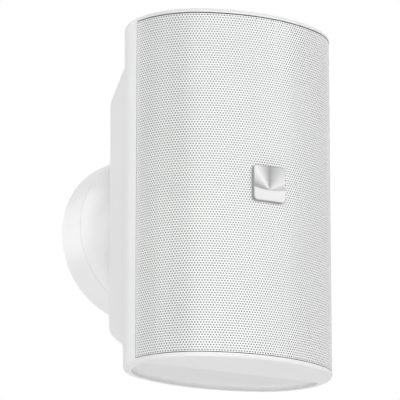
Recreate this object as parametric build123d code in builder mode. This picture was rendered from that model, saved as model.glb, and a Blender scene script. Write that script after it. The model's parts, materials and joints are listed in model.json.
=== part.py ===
from build123d import *
import math
import os

os.makedirs("parts", exist_ok=True)

# Outdoor two-way speaker on a swivel wall mount. Millimetres.
# The origin is the centre of the mount on the wall: +Y points into the wall, -Y to the listener, +Z up.

# Oval body
body_height = 280.0
body_half_width = 86.6
front_side_radius = 59.5
front_bulge = 6.2  # the front's middle stands this far ahead of the side arcs
rear_side_radius = 51.9
rear_bulge = 7.9
body_stand_off = 153.0  # wall to the widest line
wall = 3.0
lip_height = 3.6  # end lips above and below the grille
edge_round = 3.2
side_lip = 5.6  # side walls reach this far in front of the widest line
recess_line = 11.0  # straight front edge of the bottom recess, in front of the widest line
recess_depth = 4.2
recess_ring = 6.5
recess_corner = 8.0
recess_round = 3.0

# Rear hump with the ball socket
hump_depth = 81.7  # widest line to the hump's back
hump_half_width = 62.8
hump_end_margin = 37.0  # body's end to the end of the hump's back
hump_side_taper = 0.23
hump_end_taper = 0.45
hump_corner = 12.7
hump_edge_round = 3.4
hump_root_round = 1.8
hump_overlap = 41.7  # the hump starts this far inside the oval's back
socket_edge_round = 1.2

# Wall mount
drum_depth = 31.5
drum_wall_radius = 68.3
ball_radius = 67.7
ball_wall = 4.0
seam_gap = 0.4
socket_clearance = 0.4
drum_wall = 2.2  # at the seam
mount_lip = 2.4
mount_lip_length = 5.0
turn_clearance = 0.2
flange_thickness = 3.0
flange_clearance = 0.3
skirt_wall = 3.8
friction_thickness = 1.5
ring_thickness = 2.0
ring_groove = 0.8
ring_width = 4.6
ring_gap_angle = 28.0
plate_thickness = 3.0
plate_clearance = 0.4
cable_hole_radius = 13.0
wall_screw_circle = 48.0
wall_screw_radius = 2.6
tab_width = 14.0
tab_thickness = 2.5
tab_length = 12.0
lock_screw_radius = 1.95
lock_head_radius = 3.7
lock_head_depth = 1.9
lock_screw_length = 9.0
lock_head_inset = 0.3

# Swivel stem
tilt_limit = 20.0
stem_radius = 8.0
stem_bore = 4.5
slot_clearance = 0.4
hub_radius = 16.0
hub_length = 4.0
hub_clearance = 0.075
washer_radius = 23.0
washer_clearance = 0.3
washer_height = 10.7  # inside of the dome to the clamp washer's flat face
spring_thickness = 2.5
hex_flats = 24.0
head_thickness = 7.0
seal_radius = 14.5
seal_thickness = 1.6
nut_thickness = 8.0
gland_radius = 9.5
gland_length = 9.0
gland_bore = 3.2
gland_rim = 2.0

# Baffle and grille
baffle_thickness = 6.0
baffle_clearance = 0.5
baffle_side_clearance = 1.5
baffle_corner = 4.0
gasket_thickness = 1.0
ledge_line = 2.3  # ledge in front of the widest line
ledge_depth = 5.0
ledge_side = 10.0
ledge_end = 12.0
ledge_corner = 6.0
ledge_screw_inset = 4.2  # from the ledge's inner edge
side_screw_margin = 32.0  # from the baffle's ends
end_screw_spacing = 80.0
shelf_thickness = 3.0
shelf_width = 14.0
grille_inset = 0.3
grille_thickness = 1.0
grille_end_gap = 1.4
grille_side_gap = 0.6
grille_corner = 0.8
grille_hole_radius = 5.2
grille_hole_pitch = 23.5
grille_margin = 9.0
cloth_thickness = 0.6
cloth_margin = 3.0  # cloth stays this far from the sheet's side edges
shelf_clearance = 0.5
glue_gap = 0.1
badge_size = 28.5
badge_corner = 3.4
badge_stand = 3.2
badge_edge = 0.5
badge_offset = -1.6

# Woofer, along its own axis: distances are behind the baffle's front
woofer_place = -0.386  # share of the half height
flange_margin = 8.5  # surround's landing to the flange's edge
cutout_margin = 7.5  # cone's edge to the cut-out
landing_width = 4.7
woofer_screw_inset = 4.5
flange_plate = 3.0
basket_wall = 2.0
basket_shoulder = 17.0
spider_seat = 20.0
basket_depth = 30.5
basket_foot_radius = 36.5
basket_foot_flare = 1.5
basket_step = 8.5  # foot to shoulder
basket_windows = 6
window_width = 29.4
pole_radius = 12.4
coil_radius = 13.5
coil_wall = 0.6
coil_bottom = 38.0
magnet_gap_radius = 14.0
magnet_radius = 36.0
magnet_bore = 16.0
magnet_plate = 5.0
magnet_thickness = 12.5
plate_chamfer = 1.0
cone_radius = 51.0
cone_wall = 0.8
cone_neck = 16.5
cone_lip = 3.0
cone_bow = 3.0
roll_radius = 3.9
surround_lap = 2.5
trim_ring_thickness = 1.2
spider_waves = 4
spider_wave_height = 1.2
coil_lap = 1.0
dust_cap_radius = 17.0
dust_cap_height = 6.0
dust_cap_lift = 1.4

# Tweeter
tweeter_place = 0.479  # share of the half height
tweeter_radius = 42.0
tweeter_chamfer = 1.0
tweeter_throat_depth = 1.5
tweeter_horn_depth = 0.2  # middle of the mouth's curve behind the baffle's front
tweeter_dome_flange = 3.0
tweeter_plate = 4.0
tweeter_boss = 28.0
tweeter_throat = 14.0
tweeter_mouth = 35.0
tweeter_screw_circle = 37.5
tweeter_dome_radius = 12.7
tweeter_magnet_radius = 27.0
tweeter_pole_radius = 12.1
tweeter_boss_depth = 4.0
tweeter_gap_plate = 3.4
tweeter_magnet_depth = 10.0
tweeter_coil_wall = 0.3
tweeter_coil_length = 5.0
tweeter_dome_height = 5.0
tweeter_skin = 0.4
tweeter_back = 4.0

# Crossover board, hung under the top
board_length = 96.0
board_width = 38.0
board_thickness = 1.6
board_margin = 5.0
board_corner = 2.0
board_front = 8.0  # behind the widest line
post_length = 6.0
post_radius = 3.6
coil_height = 12.0
coil_outer = 11.0
coil_inner = 5.0
coil_places = (-16.0, 7.0)
capacitor_radius = 5.0
capacitor_length = 22.0
capacitor_places = (25.0, 36.0)
resistor_size = 6.5
resistor_corner = 0.8
resistor_length = 20.0
resistor_place = (-4.5, 13.5)
terminal_place = -35.0
terminal_length = 20.0
terminal_size = 11.0
terminal_hole = 2.0

# Screws
screw_radius = 1.9
screw_head_radius = 3.5
screw_head = 2.4
screw_length = 12.0
screw_clearance = 0.15
board_screw_radius = 1.3
board_screw_head = 2.6

# Places along Y that several pieces share
body_y = -body_stand_off
half_height = body_height / 2
inner_half_height = half_height - lip_height
front_depth = front_side_radius + front_bulge
rear_depth = rear_side_radius + rear_bulge
recess_step = recess_depth + wall - lip_height
hump_half_height = half_height - hump_end_margin
woofer_z = woofer_place * half_height
tweeter_z = tweeter_place * half_height
surround_landing = cone_radius + 2 * roll_radius + landing_width
woofer_flange_radius = surround_landing + flange_margin
woofer_screw_circle = woofer_flange_radius - woofer_screw_inset
woofer_cutout = cone_radius + cutout_margin
mount_bore = ball_radius - drum_wall
mount_lip_bore = mount_bore - mount_lip
inner_ball = ball_radius - ball_wall
washer_seat = inner_ball - washer_height
ball_y = -drum_depth
hump_back_y = body_y + hump_depth
hump_root_y = body_y + rear_depth - hump_overlap
socket_radius = ball_radius + socket_clearance
hub_face_y = ball_y - socket_radius - wall - hub_length
ledge_y = body_y - ledge_line
baffle_back_y = ledge_y - gasket_thickness
baffle_y = baffle_back_y - baffle_thickness


def across(y):
    """Upright plane facing the listener at the given Y: its x is +X and its y is +Z"""
    return Plane.XZ.offset(-y)


def level(z):
    """Horizontal plane centred on the oval"""
    return Plane(origin=(0, body_y, z))


def oval_arcs(depth, side_radius):
    """Centre offset and radius of the flat arc, and the angle where it meets the side arc"""
    run = body_half_width - side_radius
    rise = depth - side_radius
    centre = (run**2 - rise**2) / (2 * rise)
    return centre, depth + centre, math.degrees(math.atan2(centre, run))


def oval(inset, mode=Mode.ADD):
    """Oval of six tangent arcs, moved inwards by inset"""
    rear_centre, rear_radius, rear_angle = oval_arcs(rear_depth, rear_side_radius)
    front_centre, front_radius, front_angle = oval_arcs(front_depth, front_side_radius)
    rear_side = body_half_width - rear_side_radius
    front_side = body_half_width - front_side_radius
    with BuildLine() as outline:
        CenterArc((rear_side, 0), rear_side_radius - inset, 0, rear_angle)
        CenterArc((0, -rear_centre), rear_radius - inset, rear_angle, 180 - 2 * rear_angle)
        CenterArc((-rear_side, 0), rear_side_radius - inset, 180 - rear_angle, rear_angle)
        CenterArc((-front_side, 0), front_side_radius - inset, 180, front_angle)
        CenterArc((0, front_centre), front_radius - inset, 180 + front_angle, 180 - 2 * front_angle)
        CenterArc((front_side, 0), front_side_radius - inset, 360 - front_angle, front_angle)
    make_face(outline.edges(), mode=mode)


def keep_behind(line):
    """Keep the part of an oval sketch that lies behind the given line"""
    with Locations((0, line + body_height)):
        Rectangle(2 * body_height, 2 * body_height, mode=Mode.INTERSECT)


def keep_before(line):
    """Keep the part of an oval sketch that lies in front of the given line"""
    with Locations((0, line - body_height)):
        Rectangle(2 * body_height, 2 * body_height, mode=Mode.INTERSECT)


def front_frame(arc, inset, z):
    """Plane on the oval's front at an arc length from the middle, facing straight out"""
    centre, radius, meet = oval_arcs(front_depth, front_side_radius)
    flat = radius * math.radians(90 - meet)
    if abs(arc) <= flat:
        angle = arc / radius
        middle = (0, centre)
        reach = radius - inset
    else:
        angle = math.copysign(math.radians(90 - meet) + (abs(arc) - flat) / front_side_radius, arc)
        middle = (math.copysign(body_half_width - front_side_radius, arc), 0)
        reach = front_side_radius - inset
    out = (math.sin(angle), -math.cos(angle), 0)
    origin = (middle[0] + reach * out[0], body_y + middle[1] + reach * out[1], z)
    return Plane(origin=origin, x_dir=(math.cos(angle), math.sin(angle), 0), z_dir=out)


def front_arc_length():
    """Arc length from the middle of the front to the widest line"""
    centre, radius, meet = oval_arcs(front_depth, front_side_radius)
    return radius * math.radians(90 - meet) + front_side_radius * math.radians(meet)


def turned(z, y, points, middles=()):
    """Revolve a profile about an axis along Y at height z. Points are (radius, distance behind y);
    middles gives, by a point's index, a point halfway along the arc that follows it."""
    with BuildSketch(Plane(origin=(0, y, z))) as profile:
        with BuildLine():
            for index, start in enumerate(points):
                end = points[(index + 1) % len(points)]
                if index in middles:
                    ThreePointArc(start, middles[index], end)
                else:
                    Line(start, end)
        make_face()
    revolve(profile.sketch, axis=Axis((0, y, z), (0, 1, 0)))


def cap_point(base_radius, height, share):
    """Point on a spherical cap, at a share of the way from its top to its rim"""
    sphere = (base_radius**2 + height**2) / (2 * height)
    angle = share * math.asin(base_radius / sphere)
    return (sphere * math.sin(angle), sphere * (1 - math.cos(angle)))


def ring(plane, outer, inner, amount):
    """Flat ring extruded from a plane"""
    with BuildSketch(plane) as profile:
        Circle(outer)
        Circle(inner, mode=Mode.SUBTRACT)
    extrude(profile.sketch, amount=amount)


def save(piece, label):
    piece.part.label = label
    export_step(piece.part, f"parts/{label}.step")


# Screw places on the baffle, the drivers and the board
baffle_half_width = body_half_width - wall - baffle_side_clearance
baffle_half_height = inner_half_height - recess_step - baffle_clearance
side_screw_spacing = baffle_half_height - side_screw_margin
ledge_half_width = body_half_width - wall - ledge_side
ledge_half_height = inner_half_height - ledge_end
side_screw_x = ledge_half_width + ledge_screw_inset
end_screw_z = ledge_half_height + ledge_screw_inset
baffle_screw_points = []
for side in (-1, 1):
    for step in (-1, 0, 1):
        baffle_screw_points.append((side * side_screw_x, step * side_screw_spacing))
    for step in (-1, 1):
        baffle_screw_points.append((step * end_screw_spacing / 2, side * end_screw_z))
board_x = board_length / 2 - board_margin
board_y = board_front + board_width / 2
board_screw_y = board_width - 2 * board_margin
board_top = inner_half_height - post_length

# Enclosure: oval tub with open front, end lips, recessed bottom, tapered hump and spherical socket
with BuildPart() as enclosure:
    with BuildSketch(level(-half_height)):
        oval(0)
    extrude(amount=body_height)
    ends = enclosure.faces().filter_by(Axis.Z)
    fillet(ends.edges(), edge_round)
    hump_run = hump_back_y - hump_root_y
    hump_root_width = hump_half_width + hump_side_taper * hump_run
    hump_root_height = hump_half_height + hump_end_taper * hump_run
    with BuildSketch(across(hump_root_y)):
        RectangleRounded(2 * hump_root_width, 2 * hump_root_height, hump_corner)
    with BuildSketch(across(hump_back_y)):
        RectangleRounded(2 * hump_half_width, 2 * hump_half_height, hump_corner)
    loft()
    fillet(enclosure.edges(Select.NEW), hump_root_round)
    hump_back = enclosure.faces().sort_by(Axis.Y)[-1]
    fillet(hump_back.edges(), hump_edge_round)

    with BuildSketch(level(-inner_half_height)):
        oval(wall)
    extrude(amount=2 * inner_half_height, mode=Mode.SUBTRACT)
    with BuildSketch(across(body_y - side_lip)):
        Rectangle(4 * body_half_width, 2 * inner_half_height)
    extrude(amount=2 * front_depth, mode=Mode.SUBTRACT)
    opening_y = body_y - side_lip
    opening_corners = enclosure.edges().filter_by(Axis.X).filter_by_position(
        Axis.Y, opening_y - glue_gap, opening_y + glue_gap
    )
    fillet(opening_corners, grille_corner + grille_side_gap)
    with BuildSketch(across(hump_root_y)):
        RectangleRounded(2 * (hump_root_width - wall), 2 * (hump_root_height - wall), hump_corner - wall)
    inner_back_width = hump_half_width + hump_side_taper * wall - wall
    inner_back_height = hump_half_height + hump_end_taper * wall - wall
    with BuildSketch(across(hump_back_y - wall)):
        RectangleRounded(2 * inner_back_width, 2 * inner_back_height, hump_corner - wall)
    loft(mode=Mode.SUBTRACT)

    # Ledge that the baffle seats on
    with BuildSketch(across(ledge_y)):
        Rectangle(2 * body_half_width - wall, 2 * half_height - lip_height)
        RectangleRounded(2 * ledge_half_width, 2 * ledge_half_height, ledge_corner, mode=Mode.SUBTRACT)
    extrude(amount=-ledge_depth)
    with BuildSketch(across(ledge_y)):
        with Locations(*baffle_screw_points):
            Circle(screw_radius + screw_clearance)
    extrude(amount=-ledge_depth, mode=Mode.SUBTRACT)

    # Floor above the recess, then the recess itself
    with BuildSketch(level(-inner_half_height)):
        oval(wall)
        keep_behind(-recess_line - wall)
    extrude(amount=recess_step)
    with BuildSketch(level(-half_height)) as recess:
        oval(recess_ring)
        keep_behind(-recess_line)
        fillet(recess.vertices().sort_by(Axis.Y)[:2], recess_corner)
    extrude(amount=recess_depth, mode=Mode.SUBTRACT)
    recess_roof = enclosure.faces(Select.LAST).filter_by(Axis.Z).sort_by(Axis.Z)[-1]
    fillet(recess_roof.edges(), recess_round)

    # Socket cup and the hub that turns on the stem
    cup_radius = socket_radius + wall
    cup_reach = hump_back_y - ball_y
    cup_mouth = math.sqrt(cup_radius**2 - cup_reach**2)
    cup_middle = (cup_radius * math.sin(math.radians(30)), -cup_radius * math.cos(math.radians(30)))
    turned(0, ball_y, [(0, -cup_radius), (cup_mouth, cup_reach), (0, cup_reach)], {0: cup_middle})
    with BuildSketch(across(hub_face_y)):
        Circle(hub_radius)
    extrude(amount=-(hub_length + wall))
    with Locations((0, ball_y, 0)):
        Sphere(socket_radius, mode=Mode.SUBTRACT)
    with BuildSketch(across(hub_face_y)):
        Circle(stem_radius + hub_clearance)
    extrude(amount=-(hub_length + 2 * wall), mode=Mode.SUBTRACT)
    socket_face = enclosure.faces().filter_by(Axis.Y).sort_by(Axis.Y)[-1]
    fillet(socket_face.inner_wires().edges(), socket_edge_round)

    # Posts for the crossover board
    with BuildSketch(level(inner_half_height)):
        with Locations((0, board_y)):
            with GridLocations(2 * board_x, board_screw_y, 2, 2):
                Circle(post_radius)
                Circle(board_screw_radius + screw_clearance, mode=Mode.SUBTRACT)
    extrude(amount=-post_length)
save(enclosure, "enclosure")

# Baffle with curved shelves that the grille seats on
shelf_inset = grille_inset + grille_thickness + cloth_thickness + 2 * glue_gap + shelf_clearance
with BuildPart() as baffle:
    with BuildSketch(across(baffle_back_y)):
        RectangleRounded(2 * baffle_half_width, 2 * baffle_half_height, baffle_corner)
        with Locations((0, woofer_z)):
            Circle(woofer_cutout, mode=Mode.SUBTRACT)
            with PolarLocations(woofer_screw_circle, 4, start_angle=45):
                Circle(screw_radius + screw_clearance, mode=Mode.SUBTRACT)
        with Locations((0, tweeter_z)):
            Circle(tweeter_boss + baffle_clearance, mode=Mode.SUBTRACT)
            with PolarLocations(tweeter_screw_circle, 4, start_angle=45):
                Circle(screw_radius + screw_clearance, mode=Mode.SUBTRACT)
        with Locations(*baffle_screw_points):
            Circle(screw_radius + screw_clearance, mode=Mode.SUBTRACT)
    extrude(amount=baffle_thickness)
    for shelf_z in (-baffle_half_height, baffle_half_height - shelf_thickness):
        with BuildSketch(level(shelf_z)):
            oval(shelf_inset)
            oval(shelf_inset + shelf_width, mode=Mode.SUBTRACT)
            keep_before(baffle_y - body_y)
        extrude(amount=shelf_thickness)
save(baffle, "baffle")

with BuildPart() as baffle_gasket:
    with BuildSketch(across(ledge_y)):
        RectangleRounded(2 * baffle_half_width, 2 * baffle_half_height, baffle_corner)
        RectangleRounded(2 * ledge_half_width, 2 * ledge_half_height, ledge_corner, mode=Mode.SUBTRACT)
        with Locations(*baffle_screw_points):
            Circle(screw_radius + screw_clearance, mode=Mode.SUBTRACT)
    extrude(amount=gasket_thickness)
save(baffle_gasket, "baffle_gasket")

with BuildPart() as baffle_screws:
    with BuildSketch(across(baffle_y)):
        with Locations(*baffle_screw_points):
            Circle(screw_head_radius)
    extrude(amount=screw_head)
    with BuildSketch(across(baffle_y)):
        with Locations(*baffle_screw_points):
            Circle(screw_radius)
    extrude(amount=-screw_length)
save(baffle_screws, "baffle_screws")

# Grille: curved sheet between the end lips, with staggered holes square to the sheet
grille_half_height = inner_half_height - grille_end_gap
with BuildPart() as grille:
    with BuildSketch(level(-grille_half_height)):
        oval(grille_inset)
        oval(grille_inset + grille_thickness, mode=Mode.SUBTRACT)
        keep_before(-side_lip - grille_side_gap)
    extrude(amount=2 * grille_half_height)
    sheet_corners = grille.edges().filter_by(lambda edge: edge.length < 2 * grille_thickness)
    fillet(sheet_corners, grille_corner)
    row_step = grille_hole_pitch * math.sqrt(3) / 2
    row_count = int((grille_half_height - grille_margin) / row_step)
    for row in range(-row_count, row_count + 1):
        shift = (row % 2) * grille_hole_pitch / 2
        reach = front_arc_length() - side_lip - grille_margin
        column_count = int((reach + shift) / grille_hole_pitch)
        for column in range(-column_count, column_count + 1):
            arc = column * grille_hole_pitch - shift
            if abs(arc) <= reach:
                with BuildSketch(front_frame(arc, grille_inset - grille_thickness, row * row_step)):
                    Circle(grille_hole_radius)
    extrude(amount=-3 * grille_thickness, mode=Mode.SUBTRACT)
save(grille, "grille")

with BuildPart() as grille_cloth:
    cloth_inset = grille_inset + grille_thickness + glue_gap
    with BuildSketch(level(-grille_half_height)):
        oval(cloth_inset)
        oval(cloth_inset + cloth_thickness, mode=Mode.SUBTRACT)
        keep_before(-side_lip - grille_side_gap - cloth_margin)
    extrude(amount=2 * grille_half_height)
    cloth_corners = grille_cloth.edges().filter_by(lambda edge: edge.length < 2 * cloth_thickness)
    fillet(cloth_corners, grille_corner)
save(grille_cloth, "grille_cloth")

# Badge: rounded square plate whose back follows the grille
badge_y = body_y - front_depth + grille_inset - badge_stand
with BuildPart() as badge:
    with BuildSketch(across(badge_y)):
        with Locations((badge_offset, 0)):
            RectangleRounded(badge_size, badge_size, badge_corner)
    extrude(amount=-2 * badge_stand)
    chamfer(badge.faces().sort_by(Axis.Y)[0].edges(), badge_edge)
    with BuildSketch(level(-badge_size)):
        oval(grille_inset - glue_gap)
    extrude(amount=2 * badge_size, mode=Mode.SUBTRACT)
save(badge, "badge")

# Woofer
flange_front = -gasket_thickness - flange_plate
shoulder_radius = basket_foot_radius + basket_step
with BuildPart() as woofer_basket:
    turned(
        woofer_z,
        baffle_y,
        [
            (woofer_flange_radius, -gasket_thickness),
            (woofer_flange_radius, flange_front),
            (cone_radius + 2 * roll_radius, flange_front),
            (cone_radius + roll_radius, flange_front + basket_wall),
            (shoulder_radius - basket_wall, basket_shoulder - basket_wall),
            (shoulder_radius - basket_wall, spider_seat),
            (basket_foot_radius + basket_foot_flare, spider_seat),
            (basket_foot_radius - basket_wall, basket_depth - basket_wall),
            (magnet_bore, basket_depth - basket_wall),
            (magnet_bore, basket_depth),
            (basket_foot_radius, basket_depth),
            (basket_foot_radius + basket_foot_flare + basket_wall, spider_seat + basket_wall),
            (shoulder_radius, spider_seat + basket_wall),
            (shoulder_radius, basket_shoulder),
            (woofer_cutout - baffle_clearance, -gasket_thickness),
        ],
    )
    with BuildSketch(across(baffle_y + basket_shoulder)):
        with Locations((0, woofer_z)):
            with PolarLocations(0, basket_windows):
                Rectangle(woofer_cutout, window_width, align=(Align.MIN, Align.CENTER))
            Circle(shoulder_radius + basket_wall / 2, mode=Mode.SUBTRACT)
            Circle(woofer_cutout - 3 * basket_wall, mode=Mode.INTERSECT)
    extrude(amount=basket_shoulder, mode=Mode.SUBTRACT)
    with BuildSketch(across(baffle_y)):
        with Locations((0, woofer_z)):
            with PolarLocations(woofer_screw_circle, 4, start_angle=45):
                Circle(screw_radius + screw_clearance)
    extrude(amount=2 * flange_plate, mode=Mode.SUBTRACT)
save(woofer_basket, "woofer_basket")

with BuildPart() as woofer_gasket:
    with BuildSketch(across(baffle_y)):
        with Locations((0, woofer_z)):
            Circle(woofer_flange_radius)
            Circle(woofer_cutout, mode=Mode.SUBTRACT)
            with PolarLocations(woofer_screw_circle, 4, start_angle=45):
                Circle(screw_radius + screw_clearance, mode=Mode.SUBTRACT)
    extrude(amount=gasket_thickness)
save(woofer_gasket, "woofer_gasket")

with BuildPart() as woofer_screws:
    woofer_face_y = baffle_y + flange_front
    for radius, amount in ((screw_head_radius, screw_head), (screw_radius, -screw_length)):
        with BuildSketch(across(woofer_face_y)):
            with Locations((0, woofer_z)):
                with PolarLocations(woofer_screw_circle, 4, start_angle=45):
                    Circle(radius)
        extrude(amount=amount)
save(woofer_screws, "woofer_screws")

plate_back = basket_depth + magnet_plate
magnet_back = plate_back + magnet_thickness
with BuildPart() as woofer_top_plate:
    with BuildSketch(across(baffle_y + plate_back)):
        with Locations((0, woofer_z)):
            Circle(magnet_radius - basket_wall)
            Circle(magnet_gap_radius, mode=Mode.SUBTRACT)
    extrude(amount=magnet_plate)
save(woofer_top_plate, "woofer_top_plate")

with BuildPart() as woofer_magnet:
    with BuildSketch(across(baffle_y + magnet_back)):
        with Locations((0, woofer_z)):
            Circle(magnet_radius)
            Circle(magnet_bore, mode=Mode.SUBTRACT)
    extrude(amount=magnet_thickness)
save(woofer_magnet, "woofer_magnet")

with BuildPart() as woofer_back_plate:
    turned(
        woofer_z,
        baffle_y,
        [
            (0, basket_depth),
            (pole_radius, basket_depth),
            (pole_radius, magnet_back),
            (magnet_radius - basket_wall, magnet_back),
            (magnet_radius - basket_wall, magnet_back + magnet_plate - plate_chamfer),
            (magnet_radius - basket_wall - plate_chamfer, magnet_back + magnet_plate),
            (0, magnet_back + magnet_plate),
        ],
    )
save(woofer_back_plate, "woofer_back_plate")

cone_front = flange_front
neck_radius = coil_radius + glue_gap
with BuildPart() as woofer_cone:
    middle_radius = (neck_radius + cone_radius) / 2
    middle_depth = (cone_neck + cone_front) / 2 - cone_bow
    turned(
        woofer_z,
        baffle_y,
        [
            (neck_radius, cone_neck),
            (cone_radius - cone_lip, cone_front),
            (cone_radius, cone_front),
            (cone_radius, cone_front + cone_wall),
            (cone_radius - cone_lip, cone_front + cone_wall),
            (neck_radius + cone_wall / 2, cone_neck + cone_wall),
            (neck_radius, cone_neck + cone_wall),
        ],
        {
            0: (middle_radius, middle_depth),
            4: (middle_radius + cone_wall / 2, middle_depth + cone_wall),
        },
    )
save(woofer_cone, "woofer_cone")

with BuildPart() as woofer_surround:
    land_back = flange_front - glue_gap
    land_front = land_back - cone_wall
    roll_centre = cone_radius + roll_radius
    inner_roll = roll_radius - cone_wall
    turned(
        woofer_z,
        baffle_y,
        [
            (cone_radius - surround_lap, land_front),
            (roll_centre - roll_radius, land_front),
            (roll_centre + roll_radius, land_front),
            (surround_landing, land_front),
            (surround_landing, land_back),
            (roll_centre + inner_roll, land_back),
            (roll_centre - inner_roll, land_back),
            (cone_radius - surround_lap, land_back),
        ],
        {
            1: (roll_centre, land_front - roll_radius),
            5: (roll_centre, land_back - inner_roll),
        },
    )
save(woofer_surround, "woofer_surround")

with BuildPart() as woofer_trim_ring:
    with BuildSketch(across(baffle_y + flange_front - 2 * glue_gap - cone_wall)):
        with Locations((0, woofer_z)):
            Circle(surround_landing)
            Circle(cone_radius + 2 * roll_radius + glue_gap, mode=Mode.SUBTRACT)
    extrude(amount=trim_ring_thickness)
save(woofer_trim_ring, "woofer_trim_ring")

with BuildPart() as woofer_dust_cap:
    cap_slope = (cone_neck - cone_front) / (cone_radius - cone_lip - neck_radius)
    cap_seat = cone_neck - cap_slope * (dust_cap_radius - neck_radius) - dust_cap_lift
    cap_top = cap_seat - dust_cap_height
    outer_middle = cap_point(dust_cap_radius, dust_cap_height, 0.5)
    inner_height = dust_cap_height - cone_wall
    inner_middle = cap_point(dust_cap_radius - cone_wall, inner_height, 0.5)
    turned(
        woofer_z,
        baffle_y,
        [
            (0, cap_top),
            (dust_cap_radius, cap_seat),
            (dust_cap_radius - cone_wall, cap_seat),
            (0, cap_top + cone_wall),
        ],
        {
            0: (outer_middle[0], cap_top + outer_middle[1]),
            2: (inner_middle[0], cap_top + cone_wall + inner_middle[1]),
        },
    )
save(woofer_dust_cap, "woofer_dust_cap")

with BuildPart() as woofer_spider:
    spider_back = spider_seat - glue_gap
    spider_edge = shoulder_radius - basket_wall - glue_gap
    wave_step = (basket_foot_radius - neck_radius) / (2 * spider_waves)
    front_line = [
        (neck_radius + index * wave_step, spider_back - cone_wall - (index % 2) * spider_wave_height)
        for index in range(2 * spider_waves + 1)
    ]
    back_line = [(radius, depth + cone_wall) for radius, depth in reversed(front_line)]
    turned(
        woofer_z,
        baffle_y,
        front_line + [(spider_edge, spider_back - cone_wall), (spider_edge, spider_back)] + back_line,
    )
save(woofer_spider, "woofer_spider")

with BuildPart() as woofer_voice_coil:
    with BuildSketch(across(baffle_y + coil_bottom)):
        with Locations((0, woofer_z)):
            Circle(coil_radius)
            Circle(coil_radius - coil_wall, mode=Mode.SUBTRACT)
    extrude(amount=coil_bottom - cone_neck + coil_lap)
save(woofer_voice_coil, "woofer_voice_coil")

# Tweeter
with BuildPart() as tweeter_faceplate:
    turned(
        tweeter_z,
        baffle_y,
        [
            (tweeter_radius, 0),
            (tweeter_radius, tweeter_chamfer - tweeter_plate),
            (tweeter_radius - tweeter_chamfer, -tweeter_plate),
            (tweeter_mouth, -tweeter_plate),
            (tweeter_throat, tweeter_throat_depth),
            (tweeter_throat, tweeter_boss_depth),
            (tweeter_boss, tweeter_boss_depth),
            (tweeter_boss, 0),
        ],
        {3: ((tweeter_mouth + tweeter_throat) / 2, tweeter_horn_depth)},
    )
    with BuildSketch(across(baffle_y)):
        with Locations((0, tweeter_z)):
            with PolarLocations(tweeter_screw_circle, 4, start_angle=45):
                Circle(screw_radius + screw_clearance)
    extrude(amount=tweeter_plate, mode=Mode.SUBTRACT)
save(tweeter_faceplate, "tweeter_faceplate")

with BuildPart() as tweeter_screws:
    for radius, amount in ((screw_head_radius, screw_head), (screw_radius, -screw_length)):
        with BuildSketch(across(baffle_y - tweeter_plate)):
            with Locations((0, tweeter_z)):
                with PolarLocations(tweeter_screw_circle, 4, start_angle=45):
                    Circle(radius)
        extrude(amount=amount)
save(tweeter_screws, "tweeter_screws")

with BuildPart() as tweeter_dome:
    rim = tweeter_boss_depth + glue_gap
    dome_top = rim - tweeter_dome_height
    skirt_radius = tweeter_dome_radius + tweeter_coil_wall
    inner_dome = tweeter_dome_radius - tweeter_skin
    outer_middle = cap_point(tweeter_dome_radius, tweeter_dome_height, 0.5)
    inner_middle = cap_point(inner_dome, tweeter_dome_height, 0.5)
    turned(
        tweeter_z,
        baffle_y,
        [
            (0, dome_top),
            (tweeter_dome_radius, rim),
            (tweeter_throat + tweeter_dome_flange, rim),
            (tweeter_throat + tweeter_dome_flange, rim + tweeter_skin),
            (skirt_radius, rim + tweeter_skin),
            (skirt_radius, rim + tweeter_coil_length),
            (tweeter_dome_radius, rim + tweeter_coil_length),
            (tweeter_dome_radius, rim + tweeter_skin),
            (inner_dome, rim + tweeter_skin),
            (0, dome_top + tweeter_skin),
        ],
        {
            0: (outer_middle[0], dome_top + outer_middle[1]),
            8: (inner_middle[0], dome_top + tweeter_skin + inner_middle[1]),
        },
    )
save(tweeter_dome, "tweeter_dome")

tweeter_plate_front = tweeter_boss_depth + 2 * glue_gap + tweeter_skin
tweeter_magnet_front = tweeter_plate_front + tweeter_gap_plate
tweeter_magnet_back = tweeter_magnet_front + tweeter_magnet_depth
with BuildPart() as tweeter_top_plate:
    with BuildSketch(across(baffle_y + tweeter_magnet_front)):
        with Locations((0, tweeter_z)):
            Circle(tweeter_magnet_radius - plate_chamfer)
            Circle(tweeter_throat, mode=Mode.SUBTRACT)
    extrude(amount=tweeter_gap_plate)
save(tweeter_top_plate, "tweeter_top_plate")

with BuildPart() as tweeter_magnet:
    with BuildSketch(across(baffle_y + tweeter_magnet_back)):
        with Locations((0, tweeter_z)):
            Circle(tweeter_magnet_radius)
            Circle(tweeter_throat + plate_chamfer, mode=Mode.SUBTRACT)
    extrude(amount=tweeter_magnet_depth)
save(tweeter_magnet, "tweeter_magnet")

with BuildPart() as tweeter_back_plate:
    turned(
        tweeter_z,
        baffle_y,
        [
            (0, tweeter_plate_front),
            (tweeter_pole_radius, tweeter_plate_front),
            (tweeter_pole_radius, tweeter_magnet_back),
            (tweeter_magnet_radius - plate_chamfer, tweeter_magnet_back),
            (tweeter_magnet_radius - plate_chamfer, tweeter_magnet_back + tweeter_back),
            (0, tweeter_magnet_back + tweeter_back),
        ],
    )
save(tweeter_back_plate, "tweeter_back_plate")

# Crossover board and what is soldered to it
board_under = board_top - board_thickness
with BuildPart() as crossover_board:
    with BuildSketch(level(board_under)):
        with Locations((0, board_y)):
            RectangleRounded(board_length, board_width, board_corner)
            with GridLocations(2 * board_x, board_screw_y, 2, 2):
                Circle(board_screw_radius + screw_clearance, mode=Mode.SUBTRACT)
    extrude(amount=board_thickness)
save(crossover_board, "crossover_board")

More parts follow.
